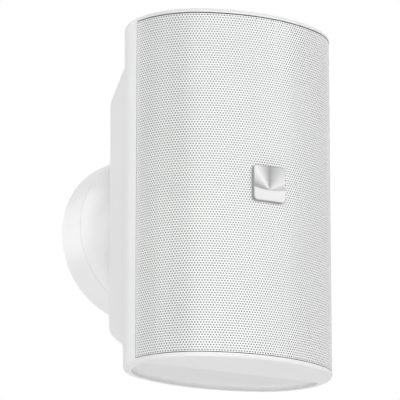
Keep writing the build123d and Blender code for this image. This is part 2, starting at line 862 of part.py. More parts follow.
with BuildPart() as board_screws:
    for radius, amount in ((board_screw_head, -screw_head), (board_screw_radius, post_length)):
        with BuildSketch(level(board_under)):
            with Locations((0, board_y)):
                with GridLocations(2 * board_x, board_screw_y, 2, 2):
                    Circle(radius)
        extrude(amount=amount)
save(board_screws, "board_screws")

with BuildPart() as crossover_coils:
    with BuildSketch(level(board_under)):
        with Locations(*[(place, board_y) for place in coil_places]):
            Circle(coil_outer)
            Circle(coil_inner, mode=Mode.SUBTRACT)
    extrude(amount=-coil_height)
save(crossover_coils, "crossover_coils")

with BuildPart() as crossover_capacitors:
    capacitor_start = body_y + board_y + capacitor_length / 2
    with BuildSketch(across(capacitor_start)):
        with Locations(*[(place, board_under - capacitor_radius) for place in capacitor_places]):
            Circle(capacitor_radius)
    extrude(amount=capacitor_length)
save(crossover_capacitors, "crossover_capacitors")

with BuildPart() as crossover_resistor:
    with BuildSketch(level(board_under)):
        with Locations((resistor_place[0], board_y + resistor_place[1])):
            RectangleRounded(resistor_size, resistor_size, resistor_corner)
    extrude(amount=-resistor_length)
save(crossover_resistor, "crossover_resistor")

with BuildPart() as input_terminals:
    with BuildSketch(level(board_under)):
        with Locations((terminal_place, board_y)):
            Rectangle(terminal_size, terminal_length)
    extrude(amount=-terminal_size)
    entry = input_terminals.faces().sort_by(Axis.X)[0]
    with BuildSketch(Plane(entry.center(), x_dir=(0, 1, 0), z_dir=(-1, 0, 0))):
        with GridLocations(terminal_length / 3, 1, 3, 1):
            Circle(terminal_hole)
    extrude(amount=-terminal_size / 2, mode=Mode.SUBTRACT)
save(input_terminals, "input_terminals")

# Wall mount: drum, wall plate, lock screws, friction washer and retaining ring
flange_y = ball_y + mount_lip_length + turn_clearance
friction_y = flange_y + flange_thickness + turn_clearance
ring_y = friction_y + friction_thickness
lock_y = -plate_thickness - tab_length / 2
with BuildPart() as mount_drum:
    groove = mount_bore + ring_groove
    with BuildSketch(Plane.XY):
        with BuildLine():
            Polyline(
                (drum_wall_radius, 0),
                (ball_radius, ball_y + seam_gap / 2),
                (mount_lip_bore, ball_y + seam_gap / 2),
                (mount_lip_bore, ball_y + mount_lip_length),
                (mount_bore, ball_y + mount_lip_length),
                (mount_bore, ring_y),
                (groove, ring_y),
                (groove, ring_y + ring_thickness),
                (mount_bore, ring_y + ring_thickness),
                (mount_bore, 0),
                close=True,
            )
        make_face()
    revolve(axis=Axis.Y)
    with BuildSketch(Plane(origin=(0, lock_y, 0))):
        Circle(lock_screw_radius + screw_clearance)
    extrude(amount=drum_wall_radius, both=True, mode=Mode.SUBTRACT)
    for side in (-1, 1):
        drum_at_lock = drum_wall_radius + (drum_wall_radius - ball_radius) * lock_y / drum_depth
        seat = Plane(origin=(0, lock_y, side * drum_at_lock), z_dir=(0, 0, -side))
        with BuildSketch(seat.offset(-lock_head_depth)):
            Circle(lock_head_radius + screw_clearance)
        extrude(amount=2 * lock_head_depth, mode=Mode.SUBTRACT)
save(mount_drum, "mount_drum")

tab_radius = mount_bore - plate_clearance - tab_width**2 / (8 * mount_bore)
with BuildPart() as wall_plate:
    with BuildSketch(across(0)):
        Circle(mount_bore - plate_clearance)
        Circle(cable_hole_radius, mode=Mode.SUBTRACT)
        with PolarLocations(wall_screw_circle, 4, start_angle=45):
            Circle(wall_screw_radius, mode=Mode.SUBTRACT)
    extrude(amount=plate_thickness)
    for side in (-1, 1):
        with BuildSketch(across(-plate_thickness)):
            with Locations((0, side * (tab_radius - tab_thickness / 2))):
                Rectangle(tab_width, tab_thickness)
        extrude(amount=tab_length)
    with BuildSketch(Plane(origin=(0, lock_y, 0))):
        Circle(lock_screw_radius + screw_clearance)
    extrude(amount=mount_bore, both=True, mode=Mode.SUBTRACT)
save(wall_plate, "wall_plate")

with BuildPart() as lock_screws:
    for side in (-1, 1):
        head_face = drum_at_lock - lock_head_inset
        seat = Plane(origin=(0, lock_y, side * head_face), z_dir=(0, 0, -side))
        with BuildSketch(seat):
            Circle(lock_head_radius)
        extrude(amount=lock_head_depth - lock_head_inset)
        with BuildSketch(seat):
            Circle(lock_screw_radius)
        extrude(amount=lock_screw_length)
save(lock_screws, "lock_screws")

with BuildPart() as friction_washer:
    ring(across(ring_y), mount_bore - plate_clearance, mount_bore - ring_width, friction_thickness)
save(friction_washer, "friction_washer")

with BuildPart() as retaining_ring:
    with BuildSketch(across(ring_y + ring_thickness)):
        Circle(groove - turn_clearance)
        Circle(groove - ring_width, mode=Mode.SUBTRACT)
        with BuildLine():
            gap_reach = 2 * groove
            gap_half = gap_reach * math.tan(math.radians(ring_gap_angle / 2))
            Polyline((0, 0), (-gap_reach, gap_half), (-gap_reach, -gap_half), close=True)
        make_face(mode=Mode.SUBTRACT)
    extrude(amount=ring_thickness)
save(retaining_ring, "retaining_ring")

# Dome: hollow ball half with a flanged skirt held in the drum, and a slot for the stem
skirt_radius_out = mount_lip_bore - turn_clearance
skirt_radius_in = skirt_radius_out - skirt_wall
skirt_top = math.sqrt(inner_ball**2 - skirt_radius_in**2)
with BuildPart() as mount_dome:
    half = math.sqrt(0.5)
    ball_foot = seam_gap / 2
    ball_foot_radius = math.sqrt(ball_radius**2 - ball_foot**2)
    flange_top = flange_y - ball_y
    inner_middle = math.radians(35)
    turned(
        0,
        ball_y,
        [
            (0, -ball_radius),
            (ball_foot_radius, -ball_foot),
            (skirt_radius_out, -ball_foot),
            (skirt_radius_out, flange_top),
            (mount_bore - flange_clearance, flange_top),
            (mount_bore - flange_clearance, flange_top + flange_thickness),
            (skirt_radius_in, flange_top + flange_thickness),
            (skirt_radius_in, -skirt_top),
            (0, -inner_ball),
        ],
        {
            0: (ball_radius * half, -ball_radius * half),
            7: (inner_ball * math.sin(inner_middle), -inner_ball * math.cos(inner_middle)),
        },
    )
    slot_half = stem_radius + slot_clearance
    with BuildSketch(Plane.YZ):
        with Locations((ball_y, 0)):
            with BuildLine():
                reach = 2 * ball_radius
                rise = reach * math.tan(math.radians(tilt_limit))
                Polyline((0, 0), (-reach, rise), (-reach, -rise), close=True)
            make_face()
    extrude(amount=slot_half, both=True, mode=Mode.SUBTRACT)
    for angle in (-tilt_limit, tilt_limit):
        out = (0, -math.cos(math.radians(angle)), math.sin(math.radians(angle)))
        with BuildSketch(Plane(origin=(0, ball_y, 0), z_dir=out)):
            Circle(slot_half)
        extrude(amount=2 * ball_radius, mode=Mode.SUBTRACT)
save(mount_dome, "mount_dome")

# Swivel stem: hollow bolt through the dome's slot and the hub, with its clamp parts
washer_ball = inner_ball - washer_clearance
with BuildPart() as clamp_washer:
    edge_reach = math.sqrt(washer_ball**2 - washer_radius**2)
    bore_reach = math.sqrt(washer_ball**2 - (stem_radius + glue_gap) ** 2)
    middle_radius = (washer_radius + stem_radius) / 2
    turned(
        0,
        ball_y,
        [
            (stem_radius + glue_gap, -bore_reach),
            (washer_radius, -edge_reach),
            (washer_radius, -washer_seat),
            (stem_radius + glue_gap, -washer_seat),
        ],
        {0: (middle_radius, -math.sqrt(washer_ball**2 - middle_radius**2))},
    )
save(clamp_washer, "clamp_washer")

with BuildPart() as disc_spring:
    turned(
        0,
        ball_y,
        [
            (stem_radius + glue_gap, -washer_seat + spring_thickness / 2),
            (2 * stem_radius, -washer_seat),
            (2 * stem_radius, -washer_seat + spring_thickness / 2),
            (stem_radius + glue_gap, -washer_seat + spring_thickness),
        ],
    )
save(disc_spring, "disc_spring")

stem_front_y = hub_face_y - seal_thickness - nut_thickness - gland_length / 2
head_y = ball_y - washer_seat + spring_thickness
with BuildPart() as swivel_stem:
    with BuildSketch(across(head_y + head_thickness)):
        RegularPolygon(hex_flats / 2, 6, major_radius=False)
    extrude(amount=head_thickness)
    with BuildSketch(across(head_y)):
        Circle(stem_radius)
    extrude(amount=head_y - stem_front_y)
    with BuildSketch(across(head_y + head_thickness)):
        Circle(stem_bore)
    extrude(amount=head_y + head_thickness - stem_front_y, mode=Mode.SUBTRACT)
save(swivel_stem, "swivel_stem")

with BuildPart() as stem_seal:
    ring(across(hub_face_y - turn_clearance), seal_radius, stem_radius + glue_gap, seal_thickness)
save(stem_seal, "stem_seal")

nut_y = hub_face_y - turn_clearance - seal_thickness
with BuildPart() as stem_nut:
    with BuildSketch(across(nut_y)):
        RegularPolygon(hex_flats / 2, 6, major_radius=False)
        Circle(stem_radius + glue_gap, mode=Mode.SUBTRACT)
    extrude(amount=nut_thickness)
save(stem_nut, "stem_nut")

gland_y = nut_y - nut_thickness
with BuildPart() as cable_gland:
    turned(
        0,
        gland_y,
        [
            (stem_radius + glue_gap, 0),
            (gland_radius + gland_rim, 0),
            (gland_radius + gland_rim, -gland_length / 2),
            (gland_radius - gland_rim, -gland_length),
            (gland_bore, -gland_length),
            (gland_bore, stem_front_y - gland_y - glue_gap),
            (stem_radius + glue_gap, stem_front_y - gland_y - glue_gap),
        ],
    )
save(cable_gland, "cable_gland")
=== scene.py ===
import json
import math

import bpy
import numpy as np
from mathutils import Matrix, Vector


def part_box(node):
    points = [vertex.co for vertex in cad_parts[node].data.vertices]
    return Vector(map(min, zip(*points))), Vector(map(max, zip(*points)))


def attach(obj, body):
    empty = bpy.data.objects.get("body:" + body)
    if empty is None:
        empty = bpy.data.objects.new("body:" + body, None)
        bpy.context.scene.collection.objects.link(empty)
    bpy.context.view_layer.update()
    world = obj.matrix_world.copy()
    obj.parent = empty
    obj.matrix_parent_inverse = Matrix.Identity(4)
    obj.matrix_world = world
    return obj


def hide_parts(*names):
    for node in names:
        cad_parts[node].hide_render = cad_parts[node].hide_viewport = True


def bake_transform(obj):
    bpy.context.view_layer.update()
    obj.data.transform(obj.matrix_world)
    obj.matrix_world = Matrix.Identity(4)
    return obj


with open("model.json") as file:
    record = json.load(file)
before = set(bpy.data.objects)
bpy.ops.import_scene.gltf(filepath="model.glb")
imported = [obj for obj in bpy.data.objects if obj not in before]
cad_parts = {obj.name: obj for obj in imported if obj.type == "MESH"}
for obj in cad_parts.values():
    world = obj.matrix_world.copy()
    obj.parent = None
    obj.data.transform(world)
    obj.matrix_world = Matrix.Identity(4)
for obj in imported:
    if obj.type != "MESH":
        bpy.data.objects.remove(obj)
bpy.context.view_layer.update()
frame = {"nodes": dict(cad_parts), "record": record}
nodes = frame["nodes"]

# Sizes shared with the solids, in metres
BODY_Y = -0.153
HALF_WIDTH = 0.0866
SIDE_RADIUS = 0.0595
FRONT_BULGE = 0.0062
FRONT_DEPTH = SIDE_RADIUS + FRONT_BULGE
SIDE_LIP = 0.0056
RECESS_DEPTH = 0.0042
GRILLE_INSET = 0.0003
GRILLE_THICKNESS = 0.001
GRILLE_SIDE_GAP = 0.0006
GRILLE_CORNER = 0.0008
CLOTH_THICKNESS = 0.0006

# Visible grille: a little taller and lower than the solid, with fine holes and shallow walls in them
GRILLE_HALF_HEIGHT = 0.13555
GRILLE_DROP = 0.00015
GRILLE_SKIN = 0.0002
HOLE_PITCH = 0.002242
HOLE_RADIUS = 0.00057
HOLE_SIDES = 12
EDGE_MARGIN = 0.0002
WELD_SCALE = 1e7
CLOTH_COLUMNS = 65

# Soft rings of the woofer
SKIN = 0.0008
COIL_RADIUS = 0.0136
SPIDER_FOOT = 0.0365
SPIDER_WAVE = 0.0012
SPIDER_WAVES = 4
SPIDER_POINTS = 49
SPIDER_SECTORS = 12
CONE_RADIUS = 0.051
ROLL_RADIUS = 0.0039
ROLL_POINTS = 17
SURROUND_LAP = 0.0025
SURROUND_SECTORS = 24
RING_STEPS = 72

# Colours of the housing, the grille and the mount, and the scale of moulded grain
WHITE = (0.803, 0.805, 0.803)
MOUNT_WHITE = (0.878, 0.88, 0.878)
GRAIN_SCALE = 1400.0

# Roof of the bottom recess, duller and darkened by painted shade, with the squared distances and the
# normals over which both fade out
RECESS_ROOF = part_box("enclosure")[0][2] + RECESS_DEPTH
RECESS_PAINTED_SHADE = 0.962
RECESS_ROUGHNESS = 0.65
RECESS_FADE = (4e-6, 6e-6)
RECESS_FACING = (-0.4, -0.1)

# Badge: centre of its fan, and the fan's greys by angle in degrees, a painted sheen that stands in for
# the spun metal's reflections, and brushed lines
FAN_X = -0.002
FAN_Z = -0.0051
PAINTED_SHEEN_GREYS = (
    (12, 0.35),
    (30, 0.48),
    (58, 0.38),
    (90, 0.23),
    (128, 0.52),
    (150, 0.37),
    (166, 0.25),
    (180, 0.27),
)
BRUSH_STRETCH = (8, 8, 900)

# Badge's foot, with its curved upper edge, and the darker grey of its sides, a painted shade, with the
# normals over which it comes in
FOOT_CURVE = 9.0
FOOT_LINE = -0.0006
FOOT_BLUR = 0.0002
FOOT_COLOUR = (0.48, 0.48, 0.48)
SIDE_PAINTED_SHADE = (0.46, 0.46, 0.46)
SHADED_SIDE_FACING = (-0.75, -0.65)

# Camera and studio
CAMERA_AZIMUTH = math.radians(-30.0)
CAMERA_ELEVATION = math.radians(-14.62)
CAMERA_DISTANCE = 2.667
AIM_LEFT = 0.0217
AIM_UP = 0.00239
FLOOR_REACH = 9
FLOOR_LEVEL = -2.2
FLOOR_GLOW = 0.7
AMBIENT_STRENGTH = 0.39


# Materials


def material(name, colour, roughness, metallic=0.0):
    """New node material: returns it with its node tree and its shader"""
    made = bpy.data.materials.new(name)
    made.use_nodes = True
    tree = made.node_tree
    shader = tree.nodes["Principled BSDF"]
    shader.inputs["Base Color"].default_value = (*colour, 1.0)
    shader.inputs["Roughness"].default_value = roughness
    shader.inputs["Metallic"].default_value = metallic
    return made, tree, shader


def object_coords(tree, stretch=(1, 1, 1)):
    """Object coordinates, stretched along the axes"""
    coords = tree.nodes.new("ShaderNodeTexCoord")
    mapping = tree.nodes.new("ShaderNodeMapping")
    mapping.inputs["Scale"].default_value = stretch
    tree.links.new(coords.outputs["Object"], mapping.inputs["Vector"])
    return mapping.outputs["Vector"]


def noise(tree, vector, scale, detail=3.0, rough=0.55):
    node = tree.nodes.new("ShaderNodeTexNoise")
    node.inputs["Scale"].default_value = scale
    node.inputs["Detail"].default_value = detail
    node.inputs["Roughness"].default_value = rough
    tree.links.new(vector, node.inputs["Vector"])
    return node.outputs["Fac"]


def ramp(tree, value, stops):
    """Colour ramp through (position, colour) stops"""
    node = tree.nodes.new("ShaderNodeValToRGB")
    items = node.color_ramp.elements
    while len(items) < len(stops):
        items.new(0.5)
    for item, (position, colour) in zip(items, stops):
        item.position = position
        item.color = (*colour, 1.0)
    tree.links.new(value, node.inputs["Fac"])
    return node.outputs["Color"]


def spread(tree, value, low, high, start=0.3, end=0.7):
    """Map a texture value to a range"""
    node = tree.nodes.new("ShaderNodeMapRange")
    node.inputs["From Min"].default_value = start
    node.inputs["From Max"].default_value = end
    node.inputs["To Min"].default_value = low
    node.inputs["To Max"].default_value = high
    tree.links.new(value, node.inputs["Value"])
    return node.outputs["Result"]


def mix_values(tree, first, second, operation="ADD"):
    """Combine a value with another value or with a plain number"""
    node = tree.nodes.new("ShaderNodeMath")
    node.operation = operation
    tree.links.new(first, node.inputs[0])
    if isinstance(second, float):
        node.inputs[1].default_value = second
    else:
        tree.links.new(second, node.inputs[1])
    return node.outputs["Value"]


def bump(tree, shader, height, distance, strength=1.0):
    node = tree.nodes.new("ShaderNodeBump")
    node.inputs["Distance"].default_value = distance
    node.inputs["Strength"].default_value = strength
    tree.links.new(height, node.inputs["Height"])
    tree.links.new(node.outputs["Normal"], shader.inputs["Normal"])


def shade(colour, factor):
    return tuple(min(1.0, c * factor) for c in colour)


def tinted(tree, shader, vector, colour, scale, depth):
    """Slow colour variation around a base colour"""
    value = noise(tree, vector, scale, 4.0)
    stops = [(0.3, shade(colour, 1 - depth)), (0.7, shade(colour, 1 + depth))]
    tree.links.new(ramp(tree, value, stops), shader.inputs["Base Color"])


def moulded(name, colour, roughness, grain=0.00002, depth=0.01):
    """Moulded plastic with a fine spark-eroded texture"""
    made, tree, shader = material(name, colour, roughness)
    vector = object_coords(tree)
    tinted(tree, shader, vector, colour, 14.0, depth)
    rough = spread(tree, noise(tree, vector, GRAIN_SCALE), roughness - 0.03, roughness + 0.03)
    tree.links.new(rough, shader.inputs["Roughness"])
    bump(tree, shader, noise(tree, vector, GRAIN_SCALE, 2.0), grain)
    return made


def powder_coat(name, colour, roughness):
    """Powder-coated sheet metal with a slight orange peel"""
    made, tree, shader = material(name, colour, roughness)
    vector = object_coords(tree)
    tinted(tree, shader, vector, colour, 18.0, 0.015)
    rough = spread(tree, noise(tree, vector, 300.0), roughness - 0.06, roughness + 0.06)
    tree.links.new(rough, shader.inputs["Roughness"])
    bump(tree, shader, noise(tree, vector, 700.0, 2.0), 0.00001)
    return made


def plated(name, colour, roughness):
    """Plated or bare steel with cloudy patches and fine scratches"""
    made, tree, shader = material(name, colour, roughness, 1.0)
    vector = object_coords(tree)
    tinted(tree, shader, vector, colour, 120.0, 0.08)
    rough = spread(tree, noise(tree, vector, 260.0, 5.0), roughness - 0.08, roughness + 0.1)
    tree.links.new(rough, shader.inputs["Roughness"])
    scratches = noise(tree, object_coords(tree, (30, 30, 800)), 4.0, 4.0)
    bump(tree, shader, scratches, 0.00002)
    return made


def soft(name, colour, roughness=0.8):
    """Rubber or foam with a dull bloom"""
    made, tree, shader = material(name, colour, roughness)
    vector = object_coords(tree)
    tinted(tree, shader, vector, colour, 90.0, 0.15)
    rough = spread(tree, noise(tree, vector, 180.0), roughness - 0.08, roughness + 0.08)
    tree.links.new(rough, shader.inputs["Roughness"])
    bump(tree, shader, noise(tree, vector, 2200.0, 2.0), 0.00006)
    return made


def woven(name, colour, pitch, depth=0.25):
    """Plain weave of round threads"""
    made, tree, shader = material(name, colour, 0.85)
    vector = object_coords(tree)
    heights = []
    # At a scale of 1 the wave repeats every tau / 20
    for axis in ("X", "Z"):
        wave = tree.nodes.new("ShaderNodeTexWave")
        wave.bands_direction = axis
        wave.inputs["Scale"].default_value = 1.0 / pitch / 20.0 * math.tau
        wave.inputs["Distortion"].default_value = 0.4
        tree.links.new(vector, wave.inputs["Vector"])
        heights.append(wave.outputs["Fac"])
    threads = mix_values(tree, heights[0], heights[1], "MAXIMUM")
    stops = [(0.2, shade(colour, 1 - depth)), (0.9, shade(colour, 1 + depth * 0.3))]
    tree.links.new(ramp(tree, threads, stops), shader.inputs["Base Color"])
    bump(tree, shader, threads, pitch * 0.3)
    shader.inputs["Sheen Weight"].default_value = 0.2
    return made


def wound(name, colour):
    """Enamelled wire wound in fine turns"""
    made, tree, shader = material(name, colour, 0.35, 1.0)
    vector = object_coords(tree)
    wave = tree.nodes.new("ShaderNodeTexWave")
    wave.bands_direction = "Z"
    wave.inputs["Scale"].default_value = 320.0
    wave.inputs["Distortion"].default_value = 0.6
    tree.links.new(vector, wave.inputs["Vector"])
    stops = [(0.1, shade(colour, 0.45)), (0.8, shade(colour, 1.05))]
    tree.links.new(ramp(tree, wave.outputs["Fac"], stops), shader.inputs["Base Color"])
    bump(tree, shader, wave.outputs["Fac"], 0.0002)
    return made


def grained(name, colour, roughness, scale, depth):
    """Sintered or fibrous solid with visible grain"""
    made, tree, shader = material(name, colour, roughness)
    vector = object_coords(tree)
    tinted(tree, shader, vector, colour, scale, depth)
    rough = spread(tree, noise(tree, vector, scale * 2), roughness - 0.1, roughness + 0.1)
    tree.links.new(rough, shader.inputs["Roughness"])
    bump(tree, shader, noise(tree, vector, scale * 4, 4.0), 0.00008)
    return made


def coordinate(tree, vector, axis, start=0.0):
    """One coordinate of a vector, counted from a place on that axis"""
    parts = tree.nodes.new("ShaderNodeSeparateXYZ")
    tree.links.new(vector, parts.inputs["Vector"])
    return mix_values(tree, parts.outputs[axis], start, "SUBTRACT")


def blend(tree, share, first, second):
    """Mix two colours, given as sockets or as plain colours"""
    node = tree.nodes.new("ShaderNodeMix")
    node.data_type = "RGBA"
    tree.links.new(share, node.inputs["Factor"])
    for socket, colour in ((node.inputs[6], first), (node.inputs[7], second)):
        if isinstance(colour, tuple):
            socket.default_value = (*colour, 1.0)
        else:
            tree.links.new(colour, socket)
    return node.outputs[2]


def painted_sheen_badge(name):
    """Silver badge: painted sheen fanning from a low centre, plain satin foot, sides in painted shade"""
    made, tree, shader = material(name, FOOT_COLOUR, 0.55, 1.0)
    coords = tree.nodes.new("ShaderNodeTexCoord")
    x = coordinate(tree, coords.outputs["Object"], "X", FAN_X)
    z = coordinate(tree, coords.outputs["Object"], "Z", FAN_Z)
    # Painted sheen: greys by angle about the fan's centre stand in for the spun metal's reflections
    turn = spread(tree, mix_values(tree, z, x, "ARCTAN2"), 0.0, 1.0, 0.0, math.pi)
    fan = ramp(tree, turn, [(degrees / 180, (grey, grey, grey)) for degrees, grey in PAINTED_SHEEN_GREYS])
    sag = mix_values(tree, mix_values(tree, x, x, "MULTIPLY"), FOOT_CURVE, "MULTIPLY")
    above = mix_values(tree, mix_values(tree, z, sag, "SUBTRACT"), FOOT_LINE, "SUBTRACT")
    face = blend(tree, spread(tree, above, 0.0, 1.0, -FOOT_BLUR, FOOT_BLUR), FOOT_COLOUR, fan)
    # Painted shade: faces turned away from the front get a darker grey
    front = coordinate(tree, coords.outputs["Normal"], "Y")
    colour = blend(tree, spread(tree, front, 0.0, 1.0, *SHADED_SIDE_FACING), face, SIDE_PAINTED_SHADE)
    tree.links.new(colour, shader.inputs["Base Color"])
    lines = noise(tree, object_coords(tree, BRUSH_STRETCH), 3.0, 5.0, 0.7)
    tree.links.new(spread(tree, lines, 0.5, 0.6), shader.inputs["Roughness"])
    bump(tree, shader, lines, 0.00001)
    return made


def housing(name, colour, roughness):
    """Moulded housing with a duller texture and painted shade on the roof of its bottom recess"""
    made = moulded(name, colour, roughness)
    tree = made.node_tree
    shader = tree.nodes["Principled BSDF"]
    coords = tree.nodes.new("ShaderNodeTexCoord")
    level = coordinate(tree, coords.outputs["Object"], "Z", RECESS_ROOF)
    near = spread(tree, mix_values(tree, level, level, "MULTIPLY"), 1.0, 0.0, *RECESS_FADE)
    down = spread(tree, coordinate(tree, coords.outputs["Normal"], "Z"), 1.0, 0.0, *RECESS_FACING)
    roof = mix_values(tree, near, down, "MULTIPLY")
    # Painted shade: the colour of the recess roof is darkened
    plain = shader.inputs["Base Color"].links[0].from_socket
    tree.links.new(blend(tree, roof, plain, shade(colour, RECESS_PAINTED_SHADE)), shader.inputs["Base Color"])
    rough = shader.inputs["Roughness"].links[0].from_socket
    dull = mix_values(tree, roof, RECESS_ROUGHNESS, "MULTIPLY")
    tree.links.new(mix_values(tree, rough, dull, "MAXIMUM"), shader.inputs["Roughness"])
    return made


materials = {
    "housing_white": housing("housing_white", WHITE, 0.40),
    "mount_white": moulded("mount_white", MOUNT_WHITE, 0.30),
    "grille_white": powder_coat("grille_white", WHITE, 0.32),
    "cloth_grey": woven("cloth_grey", (0.14, 0.14, 0.14), 0.0006),
    "badge_silver": painted_sheen_badge("badge_silver"),
    "baffle_black": moulded("baffle_black", (0.035, 0.035, 0.038), 0.6),
    "gasket_foam": soft("gasket_foam", (0.05, 0.05, 0.05)),
    "screw_black": plated("screw_black", (0.10, 0.10, 0.11), 0.4),
    "basket_black": powder_coat("basket_black", (0.04, 0.04, 0.043), 0.5),
    "cone_grey": grained("cone_grey", (0.11, 0.11, 0.12), 0.5, 220.0, 0.12),
    "surround_rubber": soft("surround_rubber", (0.03, 0.03, 0.03)),
    "trim_rubber": soft("trim_rubber", (0.04, 0.04, 0.04)),
    "spider_cloth": woven("spider_cloth", (0.55, 0.38, 0.15), 0.0009),
    "coil_copper": wound("coil_copper", (0.72, 0.36, 0.18)),
    "magnet_steel": plated("magnet_steel", (0.55, 0.55, 0.56), 0.35),
    "ferrite": grained("ferrite", (0.07, 0.07, 0.075), 0.7, 500.0, 0.25),
    "faceplate_black": moulded("faceplate_black", (0.04, 0.04, 0.043), 0.5),
    "tweeter_silk": woven("tweeter_silk", (0.08, 0.08, 0.09), 0.0004),
    "board_green": grained("board_green", (0.05, 0.20, 0.09), 0.35, 260.0, 0.18),
    "capacitor_blue": moulded("capacitor_blue", (0.05, 0.09, 0.24), 0.25),
    "resistor_ceramic": grained("resistor_ceramic", (0.72, 0.70, 0.64), 0.75, 300.0, 0.06),
    "terminal_green": moulded("terminal_green", (0.06, 0.25, 0.13), 0.45),
    "zinc_steel": plated("zinc_steel", (0.66, 0.66, 0.67), 0.33),
    "plate_steel": plated("plate_steel", (0.60, 0.60, 0.61), 0.42),
    "nylon": moulded("nylon", (0.76, 0.75, 0.70), 0.5),
    "spring_steel": plated("spring_steel", (0.36, 0.36, 0.37), 0.38),
    "seal_rubber": soft("seal_rubber", (0.035, 0.035, 0.035)),
}
slots = {part["node"]: part["material_slot"] for part in frame["record"]["subparts"]}
for name, node in nodes.items():
    node.data.materials.clear()
    node.data.materials.append(materials[slots[name]])


# Fine perforated grille


def front_arcs():
    """Radius and centre of the front's flat arc, and the angle at which it meets the side arcs"""
    run = HALF_WIDTH - SIDE_RADIUS
    rise = FRONT_DEPTH - SIDE_RADIUS
    centre = (run**2 - rise**2) / (2 * rise)
    return FRONT_DEPTH + centre, centre, math.atan2(run, centre)


def front_point(places, inset):
    """Points on the oval's front, from arc lengths and heights, moved inwards by inset"""
    arc = places[:, 0]
    radius, centre, meet = front_arcs()
    flat = radius * meet
    on_side = np.abs(arc) > flat
    side_angle = np.sign(arc) * (meet + (np.abs(arc) - flat) / SIDE_RADIUS)
    angle = np.where(on_side, side_angle, arc / radius)
    reach = np.where(on_side, SIDE_RADIUS, radius) - inset
    x = np.where(on_side, np.sign(arc) * (HALF_WIDTH - SIDE_RADIUS), 0.0) + reach * np.sin(angle)
    y = np.where(on_side, 0.0, centre) - reach * np.cos(angle) + BODY_Y
    return np.stack([x, y, places[:, 1] - GRILLE_DROP], axis=1)


def grille_half_arc():
    """Arc length from the middle of the front to the sheet's side edge"""
    radius, _, meet = front_arcs()
    end = math.acos((SIDE_LIP + GRILLE_SIDE_GAP) / (SIDE_RADIUS - GRILLE_INSET))
    return radius * meet + SIDE_RADIUS * (end - meet)


def mesh_piece(name, points, quads, node, slot):
    """Smooth mesh from arrays of points and of quads, in place of a solid"""
    mesh = bpy.data.meshes.new(name)
    mesh.vertices.add(len(points))
    mesh.vertices.foreach_set("co", points.astype(np.float32).ravel())
    mesh.loops.add(quads.size)
    mesh.loops.foreach_set("vertex_index", quads.astype(np.int32).ravel())
    mesh.polygons.add(len(quads))
    mesh.polygons.foreach_set("loop_start", np.arange(0, quads.size, 4, dtype=np.int32))
    mesh.update(calc_edges=True)
    mesh.validate()
    mesh.polygons.foreach_set("use_smooth", np.ones(len(mesh.polygons), dtype=bool))
    mesh.materials.append(materials[slot])
    piece = bpy.data.objects.new(name, mesh)
    bpy.context.scene.collection.objects.link(piece)
    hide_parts(node)
    return piece


def weld(points, quads):
    """Keep the points that the quads use, and join those that lie at the same place"""
    corners = points[quads].reshape(-1, 3)
    keys = np.round(corners * WELD_SCALE).astype(np.int64)
    _, first, inverse = np.unique(keys, axis=0, return_index=True, return_inverse=True)
    return corners[first], inverse.reshape(-1, 4)


def band(count):
    """Quads between two closed loops of count points: the first loop's points come first"""
    here = np.arange(count)
    after = (here + 1) % count
    return np.stack([here, after, after + count, here + count], axis=1)


def copies(pattern, centres):
    """A pattern of plane points repeated at every centre"""
    return (centres[:, None, :] + pattern[None]).reshape(-1, 2)


def copied_quads(quads, size, count):
    """Quads of a pattern of size points, repeated count times"""
    return (np.arange(count)[:, None, None] * size + quads[None]).reshape(-1, 4)


def hole_rows(columns, rows, pitch, row_step):
    """Centres of the staggered holes, and of the half holes at both ends of every other row"""
    left = -columns * pitch / 2
    holes = []
    left_ends = []
    right_ends = []
    for row in range(rows):
        z = (row + 0.5 - rows / 2) * row_step
        shift = row % 2
        start = left + (1 + shift) * pitch / 2
        holes.extend((start + i * pitch, z) for i in range(columns - shift))
        if shift:
            left_ends.append((left, z))
            right_ends.append((-left, z))
    return np.array(holes), np.array(left_ends), np.array(right_ends)


def field_edge(columns, rows, pitch, row_step):
    """Anticlockwise outline of the perforated field, one point per half cell"""
    half_width = columns * pitch / 2
    half_height = rows * row_step / 2
    along = np.arange(2 * columns) * pitch / 2 - half_width
    upward = np.arange(rows) * row_step - half_height
    bottom = np.stack([along, np.full_like(along, -half_height)], axis=1)
    right = np.stack([np.full_like(upward, half_width), upward], axis=1)
    return np.concatenate([bottom, right, -bottom, -right])


def rounded(outline, half_size, corner):
    """Move the points of a rectangle's outline onto rounded corners"""
    inner = np.array(half_size) - corner
    over = np.abs(outline) - inner
    beyond = (over > 0).all(axis=1)
    length = np.linalg.norm(np.maximum(over, 1e-12), axis=1)
    turned = np.sign(outline) * (inner + over * (corner / length)[:, None])
    return np.where(beyond[:, None], turned, outline)


